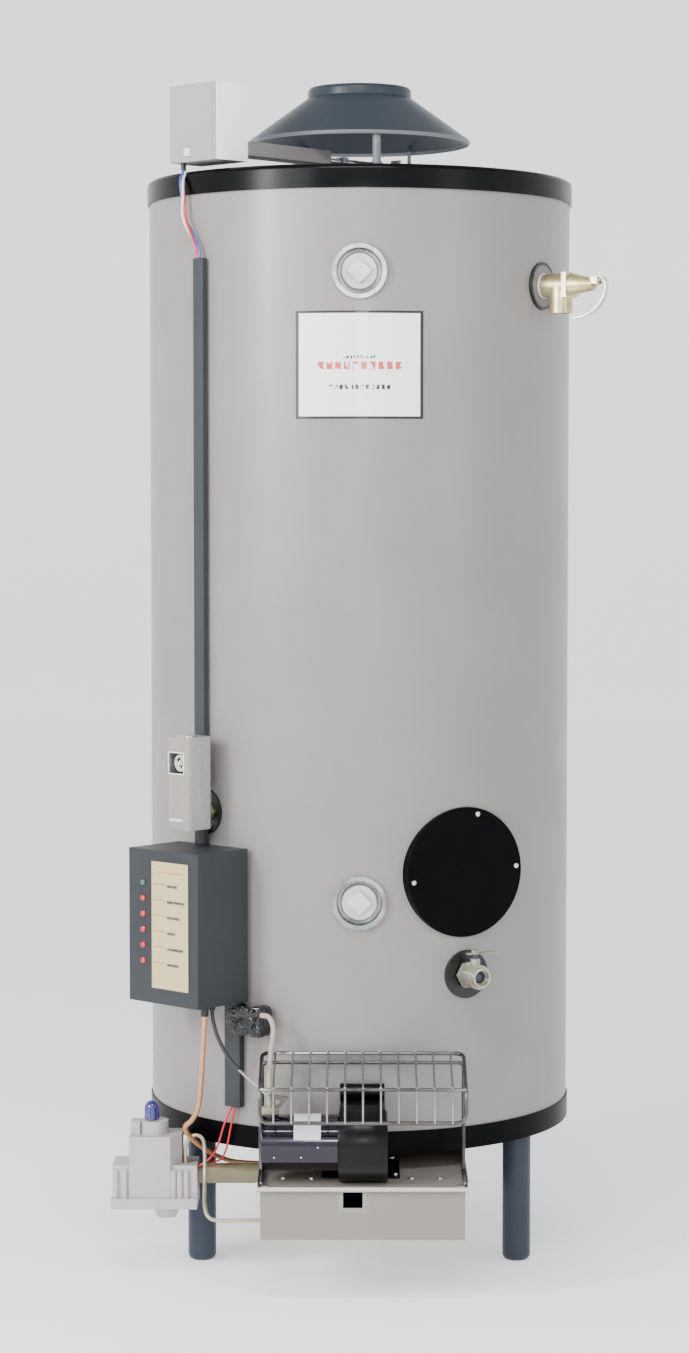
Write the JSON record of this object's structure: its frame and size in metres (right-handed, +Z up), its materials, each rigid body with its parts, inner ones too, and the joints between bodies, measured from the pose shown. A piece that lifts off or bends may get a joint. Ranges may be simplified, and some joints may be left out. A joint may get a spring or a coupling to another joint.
{
  "type": "tank water heater",
  "caption": "Upright gas tank water heater with a power burner, vent damper, draft hood, control box, thermostat, gas valve, relief valve and drain valve.",
  "frame": {"origin": "on the floor, on the axis of the tank", "axes": "+Z up along the tank, -Y is the front, where the burner and the blower are, +X is the right seen from the front"},
  "size_m": [0.7581, 0.8122, 1.845],
  "materials": {
    "jacket_paint": "satin",
    "black_gloss": "gloss",
    "leg_paint": "satin",
    "hood_paint": "gloss",
    "foam": "matte",
    "tank_steel": "satin",
    "bare_steel": "brushed",
    "flue_steel": "brushed",
    "anode_metal": "cast",
    "galvanised": "galvanised",
    "light_paint": "satin",
    "dark_paint": "satin",
    "black_plastic": "matte",
    "white_plastic": "gloss",
    "label_film": "satin",
    "panel_film": "satin",
    "lamp_lens": "clear",
    "board": "matte",
    "brass": "cast",
    "bright_steel": "polished",
    "cast_alloy": "cast",
    "knob_blue": "gloss",
    "pipe_paint": "satin",
    "copper": "drawn",
    "red_wire": "satin",
    "black_cable": "satin",
    "cream_tube": "satin",
    "white_wire": "satin",
    "motor_black": "gloss",
    "rotor_steel": "wound",
    "tray_steel": "satin",
    "wire_plating": "plated"
  },
  "bodies": {
    "heater": {"jacket": "jacket_paint", "top_cover": "black_gloss", "base_pan": "black_gloss", "legs": "leg_paint", "insulation": "foam", "tank_shell": "tank_steel", "flue_tubes": "bare_steel", "flue_baffles": "flue_steel", "anode_rods": "anode_metal", "flue_collector": "bare_steel", "draft_hood": "hood_paint", "damper_housing": "galvanised", "damper_bracket": "galvanised", "actuator_cover": "light_paint", "actuator_motor": "dark_paint", "cable_glands": "black_plastic", "damper_harness": "white_wire", "raceways": "dark_paint", "opening_trims": "black_plastic", "access_plugs": "bright_steel", "label_plate": "label_film", "handhole_plate": "bare_steel", "handhole_cover": "black_gloss", "fasteners": "bright_steel", "thermostat_base": "galvanised", "thermostat_cover": "light_paint", "thermostat_well": "brass", "control_back": "galvanised", "control_cover": "dark_paint", "status_panel": "panel_film", "status_lamps": "lamp_lens", "control_modules": "board", "relief_body": "brass", "drain_body": "brass", "gas_valve_body": "cast_alloy", "manifold_pipe": "pipe_paint", "pilot_tube": "bright_steel", "gas_lead": "copper", "valve_wires": "red_wire", "motor_cable": "black_cable", "pressure_switch": "black_plastic", "pressure_tube": "cream_tube", "blower_housing": "motor_black", "motor_shell": "motor_black", "burner_tray": "tray_steel", "burner_plate": "tray_steel", "burner_tubes": "bare_steel", "blower_guard": "wire_plating"},
    "damper": {"damper_blade": "galvanised", "damper_shaft": "bright_steel"},
    "button": {"service_button": "white_plastic"},
    "dial": {"thermostat_dial": "white_plastic"},
    "cock": {"gas_cock": "brass"},
    "knob": {"gas_knob": "knob_blue"},
    "fan": {"blower_wheel": "galvanised", "motor_rotor": "rotor_steel"},
    "relief_arm": {"relief_lever": "bright_steel"},
    "relief_rod": {"relief_stem": "brass"},
    "drain_plug": {"drain_ball": "bright_steel", "drain_handle": "bright_steel"}
  },
  "joints": [
    {"name": "damper_turn", "type": "hinge", "parent": "heater", "child": "damper", "pos_m": [0, 0, 1.727], "axis": [-0.682, -0.7314, 0], "range_deg": [0, 90]},
    {"name": "button_press", "type": "slide", "parent": "heater", "child": "button", "axis": [0.682, 0.7314, 0], "range_m": [0, 0.0025], "stiffness_N_per_m": 400},
    {"name": "dial_turn", "type": "hinge", "parent": "heater", "child": "dial", "pos_m": [-0.25552, -0.28128, 0.799], "axis": [-0.6665, -0.7455, 0], "range_deg": [-135, 135]},
    {"name": "cock_press", "type": "slide", "parent": "heater", "child": "cock", "axis": [0, 0, -1], "range_m": [0, 0.002], "stiffness_N_per_m": 600},
    {"name": "knob_turn", "type": "hinge", "parent": "cock", "child": "knob", "pos_m": [-0.32, -0.238, 0.25], "axis": [0, 0, 1], "range_deg": [0, 90]},
    {"name": "fan_spin", "type": "hinge", "parent": "heater", "child": "fan", "pos_m": [0, -0.394, 0.24], "axis": [1, 0, 0], "continuous": true},
    {"name": "relief_lift", "type": "hinge", "parent": "heater", "child": "relief_arm", "pos_m": [0.36022, -0.23482, 1.5295], "axis": [-0.5461, -0.8377, 0], "range_deg": [0, 80]},
    {"name": "relief_rise", "type": "slide", "parent": "heater", "child": "relief_rod", "axis": [0.8377, -0.5461, 0], "range_m": [0, 0.0042]},
    {"name": "drain_turn", "type": "hinge", "parent": "heater", "child": "drain_plug", "pos_m": [0.17508, -0.31456, 0.477], "axis": [0, 0, -1], "range_deg": [0, 90]}
  ],
  "couplings": [
    {"joint": "relief_rise", "follows": "relief_lift", "m_per_rad": 0.002865}
  ]
}
